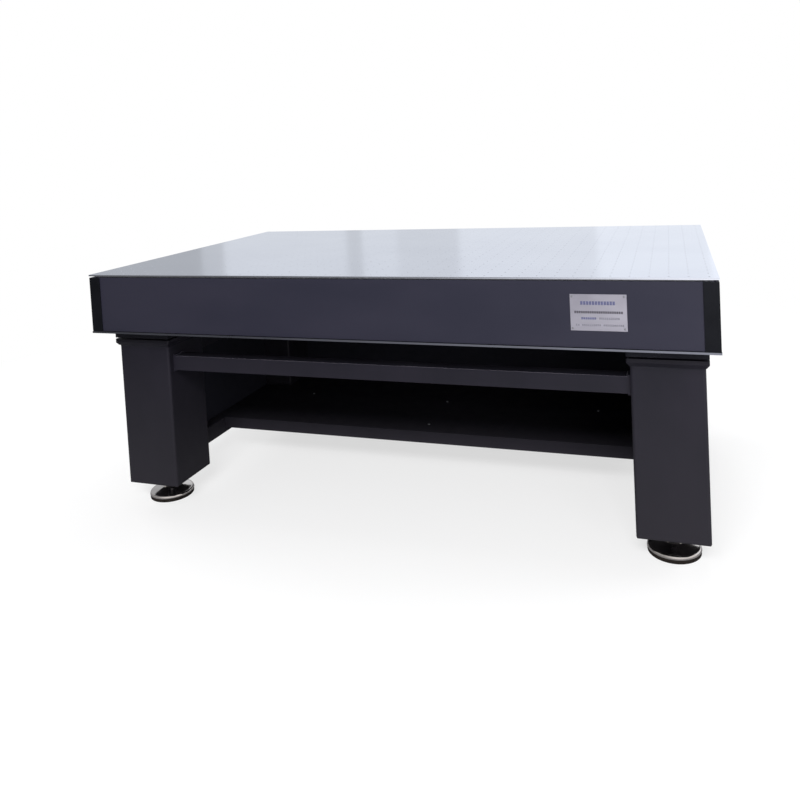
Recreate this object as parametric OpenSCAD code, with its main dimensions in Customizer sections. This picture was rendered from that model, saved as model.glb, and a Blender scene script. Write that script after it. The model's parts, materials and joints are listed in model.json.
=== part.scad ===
// Vibration isolation table: a honeycomb table top floating on four leg isolators.
// Millimetres. The origin is on the floor under the middle of the table, the front is -Y.

/* [Table top] */
// Length of the work surface
top_l = 2000; // [1700:10:2400]
// Depth of the work surface
top_w = 1200; // [1000:10:1500]
// Height of the work surface above the floor
table_h = 830; // [780:5:920]
// Thickness of the whole table top
top_t = 200; // [170:5:260]
// Thickness of the top skin
skin_t = 5; // [4:0.5:8]
// Thickness of the bottom skin
base_skin_t = 6; // [4:0.5:8]
// How far the skins stand out past the side panels
skin_lip = 5; // [4.5:0.5:9]
// Height of the shadow gap under the top skin
shadow_gap = 5; // [2:0.5:10]
// Gap between the side panels and the bottom skin
base_gap = 1; // [0.5:0.5:4]
// Thickness of the side panels
panel_t = 10; // [6:1:16]
// Wall of the edge frame inside the side panels
ring_t = 4; // [3:0.5:8]
// Width of each leg of the corner guards
guard_w = 40; // [25:1:60]
// Thickness of the corner guards
guard_t = 4; // [2:0.5:4.5]

/* [Hole grid] */
// Bore of the tapped holes, the core diameter of an M6 thread
hole_d = 5; // [4:0.1:8]
// Pitch of the hole grid
hole_pitch = 50; // [50:5:100]
// Least distance from an edge of the table to the nearest row of holes
hole_edge = 25; // [20:1:60]

/* [Honeycomb core] */
// Thickness of the walls between the core's cells
cell_wall = 3; // [2:0.5:5]

/* [Nameplate] */
// Width of the nameplate
plate_w = 150; // [100:1:180]
// Height of the nameplate
plate_h = 100; // [60:1:110]
// Thickness of the nameplate
plate_t = 1.5; // [1:0.1:3]
// Distance from the right end of the table to the middle of the nameplate
plate_in = 308; // [200:1:500]
// Distance from the work surface down to the middle of the nameplate
plate_drop = 96; // [80:1:100]
// Distance from the edges of the nameplate to its rivets
rivet_in = 6; // [5:0.5:12]
// Diameter of the rivet shanks
rivet_d = 3; // [2:0.2:4]

/* [Isolators] */
// Thickness of the adapter plates under the table top
adapter_t = 14; // [10:1:25]
// Width of the adapter plates
adapter_w = 200; // [170:1:220]
// Thickness of the piston plates
piston_t = 20; // [18:1:30]
// Width of the piston plates and of the leg caps
cap_w = 219; // [216:1:240]
// Gap in which the table top floats above the leg caps
float_gap = 5; // [4.5:0.5:12]
// Height of the leg caps
cap_t = 23; // [20:1:35]
// Height of the bevel under the edge of the leg caps
cap_bevel = 12; // [5:1:14]
// Thickness of the flange of the isolator cans
can_flange_t = 4; // [3:1:10]
// Outer diameter of the isolator cans
can_d = 150; // [140:1:156]
// Wall of the isolator cans
can_wall = 5; // [3:0.5:8]
// Depth of the isolator cans under their flange
can_depth = 104; // [96:1:150]
// Height of the rubber springs
spring_h = 74; // [50:1:76]
// Diameter of the rubber springs at their bulges
spring_d = 112; // [90:1:116]
// Bore of the rubber springs
spring_bore = 40; // [30:1:60]
// Diameter of the pressure discs
disc_d = 116; // [100:1:124]
// Thickness of the pressure discs
disc_t = 10; // [6:1:11]
// Diameter of the piston stems
piston_stem_d = 32; // [24:1:38]
// Diameter of the stop collars
collar_d = 52; // [48:1:60]
// Thickness of the stop collars
collar_t = 6; // [4:1:8]
// Upward travel between a stop collar and its leg cap
stop_gap = 5; // [4.5:0.5:6]
// Bore of the leg caps round the piston stems
cap_bore = 44; // [42:1:46]
// Outer diameter of the dust seals
seal_d = 60; // [54:1:80]
// Height of the dust seals
seal_t = 6; // [4:1:10]

/* [Legs] */
// Width of the square columns
col_w = 200; // [190:1:206]
// Wall of the columns
col_wall = 6; // [4:0.5:8]
// Radius of the upright edges of the columns
col_r = 9; // [8.5:0.5:14]
// Distance from the ends of the table to the columns
side_margin = 37; // [30:1:150]
// Distance from the front and the back of the table to the columns
front_margin = 83; // [40:1:150]
// Width of the nut blocks in the top corners of the columns
block_w = 22; // [20:1:26]
// Height of the nut blocks
block_h = 20; // [16:1:30]
// Height of the columns' base plates
base_t = 12; // [10:1:20]
// Bevel at the lower edge of the base plates
base_bevel = 4; // [2:0.5:6]
// Height of the threaded boss on each base plate
boss_h = 30; // [15:1:40]

/* [Rails] */
// Width of the rails
rail_w = 50; // [40:1:60]
// Height of the upper rails
rail_h = 50; // [40:1:60]
// Wall of the rails
rail_wall = 3; // [2:0.5:4]
// Distance from the top of the columns to the upper rails
rail_drop = 34; // [16:1:80]
// Distance that the front and rear rails stand back from the faces of the columns
rail_setback = 25; // [20:1:60]
// Height of the lower rails
low_rail_h = 60; // [50:1:80]
// Distance from the floor to the lower rails
low_rail_z = 105; // [95:1:160]
// Thickness of the rails' end flanges
flange_t = 8; // [6:1:12]
// How far the end flanges of the upper rails stand out above and below them
flange_lip = 4; // [2:1:8]

/* [Shelf] */
// Distance from the front of the columns to the lip of the shelf
shelf_setback = 414; // [300:1:480]
// Thickness of the shelf sheet
shelf_t = 3; // [2:0.5:4]
// Height of the shelf's front lip
lip_h = 42; // [30:1:60]
// Width of the shelf supports
support_w = 40; // [30:1:50]
// Height of the shelf supports
support_h = 40; // [30:1:50]
// Distance from the lip to the middle of the front shelf support
support_in = 75; // [50:1:120]
// Distance from the columns to the outer shelf screws
shelf_screw_in = 163; // [60:1:300]
// Thickness of the back panel and of the side covers
cover_t = 2; // [1:0.5:4]
// Distance from the columns to the outer screws of the back panel and of the side covers
cover_screw_in = 83; // [30:1:150]

/* [Feet] */
// Height from the floor to the base plates
foot_h = 74; // [72:1:90]
// Diameter of the rubber pads
pad_d = 150; // [120:1:170]
// Thickness of the rubber pads
pad_t = 12; // [8:1:16]
// Width that the dish rims stand out past the pads, on each side
rim_lip = 1; // [0.5:0.5:4]
// Radius of the rolled rim of the dishes
rim_r = 4.5; // [3:0.5:5]
// Height of the dishes from the pad to the top of the hub
dish_h = 26; // [22:1:26]
// Diameter of the hub of the dishes
hub_d = 52; // [44:1:60]
// Diameter of the threaded foot stems
stem_d = 24; // [20:1:27]
// Length of the thread above the base plates
stem_up = 110; // [60:1:160]
// Diameter of the spigot in the hub
spigot_d = 20; // [16:1:22]
// Thickness of the metal under the spigot
socket_floor = 8; // [5:1:12]
// Height of the hexagon on the foot stems
hex_h = 11.7; // [8:0.1:12]
// Size across the corners of the hexagon and of the lock nuts
hex_d = 41; // [36:1:46]
// Height of the lock nuts
nut_h = 13; // [10:1:13]

/* [Fasteners] */
// Shank diameter of the adapter bolts and of the rail bolts
bolt_d = 10; // [8:1:12]
// Head diameter of the adapter bolts and of the rail bolts
bolt_head_d = 16; // [15:0.5:18]
// Head height of the adapter bolts and of the rail bolts
bolt_head_h = 8; // [5:0.5:9]
// Distance between the adapter bolts of one leg
adapter_bolt_pitch = 140; // [110:1:146]
// Distance between the two bolts at each end of a rail
rail_bolt_pitch = 26; // [20:1:28]
// Shank diameter of the cap screws
cap_screw_d = 8; // [6:1:8]
// Head diameter of the cap screws
cap_screw_head_d = 13; // [11:0.5:14]
// Head height of the cap screws
cap_screw_head_h = 8; // [4:0.5:8]
// Shank diameter of the shelf screws and of the cover screws
sheet_screw_d = 6; // [4:0.5:8]
// Head diameter of the shelf screws and of the cover screws
sheet_screw_head_d = 12; // [10:0.5:14]
// Head height of the shelf screws and of the cover screws
sheet_screw_head_h = 3.5; // [2:0.5:5]

/* [Clearances] */
// Radial clearance of turning and sliding fits
run_gap = 0.05; // [0.02:0.01:0.1]
// Radial clearance of screws in their holes, and of the dust seals
hole_gap = 0.3; // [0.2:0.1:0.5]

/* [Hidden] */
$fn = 64;

// Each leg's side of the table along X and Y, and its name
LEGS = [[-1, -1], [1, -1], [-1, 1], [1, 1]];
LEG_NAMES = ["front_left", "front_right", "rear_left", "rear_right"];

// Levels of the table top
base_z = table_h - top_t;
core_z = base_z + base_skin_t;
core_top = table_h - skin_t;
panel_z = core_z + base_gap;
panel_top = core_top - shadow_gap;

// Half sizes of the table top's layers, from outside to inside
panel_x = top_l / 2 - skin_lip;
panel_y = top_w / 2 - skin_lip;
ring_x = panel_x - panel_t;
ring_y = panel_y - panel_t;
core_x = ring_x - ring_t;
core_y = ring_y - ring_t;

// Hole grid, centred on the table
holes_x = floor((top_l - 2 * hole_edge) / hole_pitch) + 1;
holes_y = floor((top_w - 2 * hole_edge) / hole_pitch) + 1;
first_x = -(holes_x - 1) / 2 * hole_pitch;
first_y = -(holes_y - 1) / 2 * hole_pitch;
hole_facets = 24;

// Cells of the core: two holes wide, so that every hole opens into a cell
cell_p = 2 * hole_pitch;
cell_half = (cell_p - cell_wall) / 2;
cell_slope = 30;
cell_apex = cell_p / 2 + cell_p / 4 * tan(cell_slope) - cell_wall / 2 / cos(cell_slope);
cell_shoulder = cell_apex - cell_half * tan(cell_slope);

// Levels of the isolators, from the table top downwards
adapter_z = base_z - adapter_t;
piston_z = adapter_z - piston_t;
cap_top = piston_z - float_gap;
cap_z = cap_top - cap_t;
can_rim_z = cap_z - can_flange_t;
can_z = can_rim_z - can_depth;
spring_z = can_z + can_wall;
disc_z = spring_z + spring_h;
collar_z = cap_z - stop_gap - collar_t;
plate_r = 5;

// Places and levels of the legs
col_x = top_l / 2 - side_margin - col_w / 2;
col_y = top_w / 2 - front_margin - col_w / 2;
col_z = foot_h + base_t;
col_in = col_w - 2 * col_wall;
screw_at = col_in / 2 - block_w / 2;
screw_end_z = can_rim_z - block_h;

// Places and levels of the rails
rail_y = col_y + col_w / 2 - rail_setback - rail_w / 2;
rail_z = can_rim_z - rail_drop - rail_h;
span_x = 2 * col_x - col_w;
span_y = 2 * col_y - col_w;

// Places and levels of the shelf, of the back panel and of the side covers
shelf_z = low_rail_z + low_rail_h;
shelf_y = -col_y - col_w / 2 + shelf_setback;
shelf_half = col_x - rail_w / 2;
shelf_back = rail_y + rail_w / 2;
support_y = shelf_y + support_in;
mid_support_y = (support_y + rail_y) / 2;
screw_grip = 14;
cover_h = rail_z + rail_h - low_rail_z;
cover_rows = [low_rail_z + low_rail_h / 2, rail_z + rail_h / 2];
cover_x = col_x + rail_w / 2;

// Levels of the feet
socket_z = pad_t + socket_floor;
hub_z = pad_t + dish_h;
hex_z = hub_z + hole_gap;
dish_r = pad_d / 2 + rim_lip;
stem_top = foot_h + stem_up;
pad_groove = 2;

// Colours
STEEL = [0.81, 0.83, 0.87];
DULL = [0.38, 0.39, 0.42];
PANEL = [0.20, 0.20, 0.24];
GUARD = [0.09, 0.10, 0.12];
LEG = [0.18, 0.17, 0.20];
DARK = [0.12, 0.12, 0.13];
ZINC = [0.62, 0.63, 0.66];
RUBBER = [0.10, 0.09, 0.08];
FOIL = [0.72, 0.74, 0.77];

// A square with rounded corners, centred
module rounded_square(w, r) {
    square([w - 2 * r, w], center = true);
    square([w, w - 2 * r], center = true);
    for (x = [-1, 1], y = [-1, 1])
        translate([x, y] * (w / 2 - r)) circle(r);
}

// A square block with rounded upright edges and a bevel round its lower edge
module bevelled_block(w, h, bevel, in, r) {
    intersection() {
        linear_extrude(h) rounded_square(w, r);
        for_both_ways() linear_extrude(w + 1, center = true) polygon([
            [-w / 2 + in, 0], [w / 2 - in, 0], [w / 2, bevel],
            [w / 2, h], [-w / 2, h], [-w / 2, bevel]
        ]);
    }
}

// The overlap of a profile run along X and the same profile run along Y
module for_both_ways() {
    intersection() {
        rotate([90, 0, 0]) children();
        rotate([90, 0, 90]) children();
    }
}

// Puts a piece at one leg
module at_leg(i) {
    translate([LEGS[i].x * col_x, LEGS[i].y * col_y, 0]) children();
}

// Puts a piece at every leg
module at_legs() {
    for (i = [0 : 3]) at_leg(i) children();
}

// Puts a piece at the corners of a square with this pitch
module at_corners(pitch) {
    for (x = [-1, 1], y = [-1, 1])
        translate([x, y] * pitch / 2) children();
}

// A ring between two rectangles
module rect_ring(out_x, out_y, wall) {
    difference() {
        square([2 * out_x, 2 * out_y], center = true);
        square([2 * (out_x - wall), 2 * (out_y - wall)], center = true);
    }
}

// A headed screw pointing down: its head stands on z = 0, and its shank hangs below
module screw(d, head_d, head_h, len) {
    cylinder(h = head_h, d = head_d);
    translate([0, 0, -len]) cylinder(h = len + head_h / 2, d = d);
}

module top_skin() {
    color(STEEL) translate([0, 0, core_top]) linear_extrude(skin_t) difference() {
        square([top_l, top_w], center = true);
        for (i = [0 : holes_x - 1], j = [0 : holes_y - 1])
            translate([first_x + i * hole_pitch, first_y + j * hole_pitch])
                circle(d = hole_d, $fn = hole_facets);
    }
}

module bottom_skin() {
    color(DULL) translate([0, 0, base_z]) linear_extrude(base_skin_t) difference() {
        square([top_l, top_w], center = true);
        for (leg = LEGS)
            translate([leg.x * col_x, leg.y * col_y]) at_corners(adapter_bolt_pitch)
                circle(d = bolt_d + 2 * hole_gap);
    }
}

module edge_frame() {
    color(ZINC) translate([0, 0, core_z]) linear_extrude(core_top - core_z)
        rect_ring(ring_x, ring_y, ring_t);
}

// One cell of the core
module cell() {
    polygon([
        [0, -cell_apex], [cell_half, -cell_shoulder], [cell_half, cell_shoulder],
        [0, cell_apex], [-cell_half, cell_shoulder], [-cell_half, -cell_shoulder]
    ]);
}

module honeycomb_core() {
    columns = ceil(top_l / cell_p / 2) + 1;
    rows = ceil(top_w / cell_p / 2) + 1;
    color(FOIL) translate([0, 0, core_z]) linear_extrude(core_top - core_z) difference() {
        square([2 * core_x, 2 * core_y], center = true);
        intersection() {
            square([2 * core_x - 2 * cell_wall, 2 * core_y - 2 * cell_wall], center = true);
            translate([(holes_x % 2) * hole_pitch / 2, (holes_y % 2) * hole_pitch / 2])
                for (j = [-rows : rows], i = [-columns : columns])
                    translate([(i + (j % 2 == 0 ? 0 : 1 / 2)) * cell_p, j * cell_p]) cell();
        }
    }
}

// A side panel along X, on the front (-1) or the rear (1)
module long_panel(side) {
    difference() {
        translate([-panel_x, side * (panel_y - panel_t / 2) - panel_t / 2, panel_z])
            cube([2 * panel_x, panel_t, panel_top - panel_z]);
        if (side < 0) at_rivets() rivet_hole();
    }
}

// A side panel along Y, between the long panels, on the left (-1) or the right (1)
module end_panel(side) {
    translate([side * (panel_x - panel_t / 2) - panel_t / 2, -ring_y, panel_z])
        cube([panel_t, 2 * ring_y, panel_top - panel_z]);
}

module side_panel_front() { color(PANEL) long_panel(-1); }
module side_panel_rear() { color(PANEL) long_panel(1); }
module side_panel_left() { color(PANEL) end_panel(-1); }
module side_panel_right() { color(PANEL) end_panel(1); }

module corner_guards() {
    color(GUARD) translate([0, 0, panel_z]) linear_extrude(panel_top - panel_z)
        for (x = [0, 1], y = [0, 1]) mirror([x, 0]) mirror([0, y])
            translate([panel_x, panel_y]) difference() {
                translate([guard_t - guard_w, guard_t - guard_w]) square(guard_w);
                translate([-guard_w, -guard_w]) square(guard_w);
            }
}

// Puts a piece at each rivet, with its Z axis pointing out of the front panel
module at_rivets() {
    for (x = [-1, 1], z = [-1, 1])
        translate([
            top_l / 2 - plate_in + x * (plate_w / 2 - rivet_in), -panel_y,
            table_h - plate_drop + z * (plate_h / 2 - rivet_in)
        ]) rotate([90, 0, 0]) children();
}

module rivet_hole() {
    translate([0, 0, -panel_t - 1]) cylinder(h = panel_t + plate_t + 2, d = rivet_d + 2 * hole_gap);
}

module nameplate() {
    color(STEEL) difference() {
        translate([
            top_l / 2 - plate_in - plate_w / 2, -panel_y - plate_t,
            table_h - plate_drop - plate_h / 2
        ]) cube([plate_w, plate_t, plate_h]);
        at_rivets() rivet_hole();
    }
}

module nameplate_rivets() {
    head_d = 2 * rivet_d;
    head_h = rivet_d / 2;
    color(ZINC) at_rivets() translate([0, 0, plate_t])
        screw(rivet_d, head_d, head_h, panel_t / 2 + plate_t);
}

module adapter_plates() {
    color(DARK) at_legs() translate([0, 0, adapter_z]) linear_extrude(adapter_t) difference() {
        rounded_square(adapter_w, plate_r);
        at_corners(adapter_bolt_pitch) circle(d = bolt_d + 2 * hole_gap);
    }
}

module adapter_bolts() {
    head_z = piston_z + bolt_head_h + 2;
    color(ZINC) at_legs() at_corners(adapter_bolt_pitch)
        translate([0, 0, head_z]) rotate([180, 0, 0])
            screw(bolt_d, bolt_head_d, bolt_head_h, core_z - head_z);
}

module piston(i) {
    color(DARK) at_leg(i) {
        difference() {
            translate([0, 0, piston_z]) linear_extrude(piston_t) rounded_square(cap_w, plate_r);
            at_corners(adapter_bolt_pitch) translate([0, 0, piston_z]) {
                translate([0, 0, -1]) cylinder(h = piston_t + 2, d = bolt_d + 2 * hole_gap);
                translate([0, 0, -1]) cylinder(h = bolt_head_h + 3, d = bolt_head_d + 2 * hole_gap);
            }
        }
        translate([0, 0, disc_z]) cylinder(h = piston_z + 1 - disc_z, d = piston_stem_d);
        translate([0, 0, collar_z]) cylinder(h = collar_t, d = collar_d);
        translate([0, 0, disc_z]) cylinder(h = disc_t, d = disc_d);
    }
}

module rubber_springs() {
    waist = spring_d / 2 - 6;
    color(RUBBER) at_legs() translate([0, 0, spring_z]) rotate_extrude() polygon([
        [spring_bore / 2, 0], [waist, 0], [spring_d / 2, spring_h / 4], [waist, spring_h / 2],
        [spring_d / 2, spring_h * 3 / 4], [waist, spring_h], [spring_bore / 2, spring_h]
    ]);
}

module dust_seals() {
    color(RUBBER) at_legs() translate([0, 0, cap_top - seal_t]) difference() {
        cylinder(h = seal_t, d = seal_d);
        translate([0, 0, -1]) cylinder(h = seal_t + 2, d = piston_stem_d + 2 * hole_gap);
    }
}

// Holes for the cap screws of one leg
module cap_screw_holes(z, h) {
    at_corners(2 * screw_at) translate([0, 0, z]) cylinder(h = h, d = cap_screw_d + 2 * hole_gap);
}

module isolator_cans() {
    color(DARK) at_legs() difference() {
        union() {
            translate([0, 0, can_z]) cylinder(h = can_depth + 1, d = can_d);
            translate([0, 0, can_rim_z]) linear_extrude(can_flange_t) rounded_square(col_w, col_r);
        }
        translate([0, 0, spring_z]) cylinder(h = can_depth + can_flange_t, d = can_d - 2 * can_wall);
        cap_screw_holes(can_rim_z - 1, can_flange_t + 2);
    }
}

module leg_cap(i) {
    color(LEG) at_leg(i) difference() {
        translate([0, 0, cap_z])
            bevelled_block(cap_w, cap_t, cap_bevel, (cap_w - col_w) / 2 - 1, plate_r);
        translate([0, 0, cap_z - 1]) cylinder(h = cap_t + 2, d = cap_bore);
        translate([0, 0, cap_top - seal_t]) cylinder(h = seal_t + 1, d = seal_d + 2 * run_gap);
        cap_screw_holes(cap_z - 1, cap_t + 2);
        at_corners(2 * screw_at) translate([0, 0, cap_top - cap_screw_head_h])
            cylinder(h = cap_screw_head_h + 1, d = cap_screw_head_d + 2 * hole_gap);
    }
}

module cap_screws() {
    head_z = cap_top - cap_screw_head_h;
    color(ZINC) at_legs() at_corners(2 * screw_at) translate([0, 0, head_z])
        screw(cap_screw_d, cap_screw_head_d, cap_screw_head_h, head_z - screw_end_z);
}

// Puts a piece where a rail's bolts go through a column, with its Z axis along the rail
module at_rail_bolts(leg, across, along, z) {
    for (dz = [-1, 1] * rail_bolt_pitch / 2)
        translate([0, 0, z + dz])
            if (across)
                translate([leg.x * (col_x - col_w / 2), leg.y * along, 0])
                    rotate([0, -leg.x * 90, 0]) children();
            else
                translate([leg.x * along, leg.y * (col_y - col_w / 2), 0])
                    rotate([leg.y * 90, 0, 0]) children();
}

// Puts a piece at all the rail bolts of one leg; the front has no lower rail
module at_leg_bolts(i) {
    upper = rail_z + rail_h / 2;
    lower = low_rail_z + low_rail_h / 2;
    at_rail_bolts(LEGS[i], true, rail_y, upper) children();
    at_rail_bolts(LEGS[i], false, col_x, upper) children();
    at_rail_bolts(LEGS[i], false, col_x, lower) children();
    if (LEGS[i].y > 0) at_rail_bolts(LEGS[i], true, rail_y, lower) children();
}

module column(i) {
    color(LEG) difference() {
        at_leg(i) difference() {
            union() {
                translate([0, 0, col_z]) linear_extrude(can_rim_z - col_z) difference() {
                    rounded_square(col_w, col_r);
                    square(col_in, center = true);
                }
                translate([0, 0, screw_end_z]) linear_extrude(block_h)
                    at_corners(2 * screw_at) square(block_w, center = true);
            }
            cap_screw_holes(screw_end_z - 1, block_h + 2);
        }
        at_leg_bolts(i) translate([0, 0, -col_wall - 1])
            cylinder(h = col_wall + 2, d = bolt_d + 2 * hole_gap);
    }
}

module base_plates() {
    color(LEG) at_legs() difference() {
        union() {
            translate([0, 0, foot_h]) bevelled_block(col_w, base_t, base_bevel, base_bevel, col_r);
            translate([0, 0, foot_h]) cylinder(h = base_t + boss_h, d = hex_d);
        }
        translate([0, 0, foot_h - 1]) cylinder(h = base_t + boss_h + 2, d = stem_d + 2 * run_gap);
    }
}

module lock_nuts() {
    color(ZINC) at_legs() translate([0, 0, foot_h - nut_h]) difference() {
        cylinder(h = nut_h, d = hex_d, $fn = 6);
        translate([0, 0, -1]) cylinder(h = nut_h + 2, d = stem_d + 2 * run_gap);
    }
}

// A square tube between two end flanges, centred on the origin and lying along X
module rail(len, h, lip) {
    difference() {
        union() {
            cube([len, rail_w, h], center = true);
            for (side = [-1, 1]) translate([side * (len - flange_t) / 2, 0, 0])
                cube([flange_t, rail_w, h + 2 * lip], center = true);
        }
        cube([len - 2 * flange_t, rail_w - 2 * rail_wall, h - 2 * rail_wall], center = true);
        for (dz = [-1, 1] * rail_bolt_pitch / 2) translate([0, 0, dz]) rotate([0, 90, 0])
            cylinder(h = len + 2, d = bolt_d + 2 * hole_gap, center = true);
    }
}

// Puts a piece at the back panel's screws, with its Z axis pointing backwards
module at_back_screws() {
    pitch = (span_x / 2 - cover_screw_in) / 2;
    for (x = [-2 : 2], z = cover_rows)
        translate([x * pitch, shelf_back, z]) rotate([-90, 0, 0]) children();
}

// Puts a piece at the screws of one side cover, with its Z axis pointing outwards
module at_side_screws(side) {
    pitch = span_y / 2 - cover_screw_in;
    for (y = [-1 : 1], z = cover_rows)
        translate([side * cover_x, y * pitch, z]) rotate([0, side * 90, 0]) children();
}

// Puts a piece at the shelf screws of one row, with its Z axis pointing up
module at_shelf_screws(row) {
    reach = row == 0 ? 0 : 1;
    y = [support_y, mid_support_y, rail_y][row];
    for (x = [-reach : reach])
        translate([x * (span_x / 2 - shelf_screw_in), y, shelf_z]) children();
}

module sheet_screw_hole() {
    translate([0, 0, -rail_wall - 1])
        cylinder(h = rail_wall + shelf_t + cover_t + 2, d = sheet_screw_d + 2 * hole_gap);
}

// A rail between the columns of the front (-1) or of the rear (1)
module rail_across(side, z, h, lip) {
    translate([0, side * rail_y, z + h / 2]) rail(span_x, h, lip);
}

// A rail between the columns of the left (-1) or of the right (1), with its cover's screw holes
module rail_along(side, z, h, lip) {
    difference() {
        translate([side * col_x, 0, z + h / 2]) rotate(90) rail(span_y, h, lip);
        at_side_screws(side) sheet_screw_hole();
    }
}

module upper_rail_front() { color(LEG) rail_across(-1, rail_z, rail_h, flange_lip); }
module upper_rail_rear() {
    color(LEG) difference() {
        rail_across(1, rail_z, rail_h, flange_lip);
        at_back_screws() sheet_screw_hole();
    }
}
module upper_rail_left() { color(LEG) rail_along(-1, rail_z, rail_h, flange_lip); }
module upper_rail_right() { color(LEG) rail_along(1, rail_z, rail_h, flange_lip); }
module lower_rail_left() { color(LEG) rail_along(-1, low_rail_z, low_rail_h, 0); }
module lower_rail_right() { color(LEG) rail_along(1, low_rail_z, low_rail_h, 0); }
module lower_rail_rear() {
    color(LEG) difference() {
        rail_across(1, low_rail_z, low_rail_h, 0);
        at_back_screws() sheet_screw_hole();
        at_shelf_screws(2) sheet_screw_hole();
    }
}

module rail_bolts() {
    color(ZINC) for (i = [0 : 3]) at_leg_bolts(i)
        translate([0, 0, -col_wall]) rotate([180, 0, 0])
            screw(bolt_d, bolt_head_d, bolt_head_h, col_wall + flange_t);
}

// A square tube under the shelf, between the lower side rails
module shelf_support(row) {
    y = [support_y, mid_support_y][row];
    difference() {
        translate([0, y, shelf_z - support_h / 2]) difference() {
            cube([2 * shelf_half, support_w, support_h], center = true);
            cube([2 * shelf_half + 2, support_w - 2 * rail_wall, support_h - 2 * rail_wall],
                center = true);
        }
        at_shelf_screws(row) sheet_screw_hole();
    }
}

module shelf_support_front() { color(LEG) shelf_support(0); }
module shelf_support_rear() { color(LEG) shelf_support(1); }

module shelf_pan() {
    color(LEG) difference() {
        union() {
            translate([0, 0, shelf_z]) linear_extrude(shelf_t) polygon([
                [-shelf_half, shelf_y], [shelf_half, shelf_y],
                [shelf_half, span_y / 2], [span_x / 2, span_y / 2],
                [span_x / 2, shelf_back], [-span_x / 2, shelf_back],
                [-span_x / 2, span_y / 2], [-shelf_half, span_y / 2]
            ]);
            translate([-shelf_half, shelf_y, shelf_z + shelf_t - lip_h])
                cube([2 * shelf_half, shelf_t, lip_h]);
        }
        for (row = [0 : 2]) at_shelf_screws(row) sheet_screw_hole();
    }
}

module shelf_screws() {
    color(ZINC) for (row = [0 : 2]) at_shelf_screws(row) translate([0, 0, shelf_t])
        screw(sheet_screw_d, sheet_screw_head_d, sheet_screw_head_h, screw_grip);
}

module back_panel() {
    color(DARK) difference() {
        translate([-span_x / 2, shelf_back, low_rail_z]) cube([span_x, cover_t, cover_h]);
        at_back_screws() sheet_screw_hole();
    }
}

module side_cover(side) {
    difference() {
        translate([side * (cover_x + cover_t / 2) - cover_t / 2, -span_y / 2, low_rail_z])
            cube([cover_t, span_y, cover_h]);
        at_side_screws(side) sheet_screw_hole();
    }
}

module side_cover_left() { color(DARK) side_cover(-1); }
module side_cover_right() { color(DARK) side_cover(1); }

module cover_screw() {
    translate([0, 0, cover_t])
        screw(sheet_screw_d, sheet_screw_head_d, sheet_screw_head_h, screw_grip);
}

module cover_screws() {
    color(DARK) {
        at_back_screws() cover_screw();
        for (side = [-1, 1]) at_side_screws(side) cover_screw();
    }
}

module foot_pad(i) {
    color(RUBBER) at_leg(i) difference() {
        cylinder(h = pad_t, d = pad_d);
        for (ring = [1 : 3]) translate([0, 0, -1]) difference() {
            cylinder(h = pad_groove + 1, d = pad_d * ring / 4 + pad_groove);
            translate([0, 0, -1]) cylinder(h = pad_groove + 3, d = pad_d * ring / 4 - pad_groove);
        }
    }
}

module foot_dish(i) {
    rim_x = dish_r - rim_r;
    color(ZINC) at_leg(i) rotate_extrude() difference() {
        union() {
            translate([rim_x, pad_t + rim_r]) circle(rim_r);
            polygon([
                [0, pad_t], [rim_x, pad_t], [rim_x, pad_t + 2 * rim_r],
                [hub_d / 2 + 3, hub_z - 6], [hub_d / 2, hub_z], [0, hub_z]
            ]);
        }
        translate([0, socket_z]) square([spigot_d / 2 + run_gap, dish_h]);
    }
}

module foot_stem(i) {
    color(DARK) at_leg(i) {
        translate([0, 0, socket_z]) cylinder(h = hex_z + 1 - socket_z, d = spigot_d);
        translate([0, 0, hex_z]) cylinder(h = hex_h, d = hex_d, $fn = 6);
        translate([0, 0, hex_z + hex_h - 1]) cylinder(h = stem_top - hex_z - hex_h + 1, d = stem_d);
    }
}

top_skin();
bottom_skin();
edge_frame();
honeycomb_core();
side_panel_front();
side_panel_rear();
side_panel_left();
side_panel_right();
corner_guards();
nameplate();
nameplate_rivets();
adapter_plates();
adapter_bolts();
rubber_springs();
dust_seals();
isolator_cans();
cap_screws();
base_plates();
lock_nuts();
upper_rail_front();
upper_rail_rear();
upper_rail_left();
upper_rail_right();
lower_rail_rear();
lower_rail_left();
lower_rail_right();
rail_bolts();
shelf_support_front();
shelf_support_rear();
shelf_pan();
shelf_screws();
back_panel();
side_cover_left();
side_cover_right();
cover_screws();
for (i = [0 : 3]) {
    piston(i);
    leg_cap(i);
    column(i);
    foot_pad(i);
    foot_dish(i);
    foot_stem(i);
}
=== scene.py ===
import json
import math
import bmesh
import bpy
from mathutils import Matrix, Vector

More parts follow.
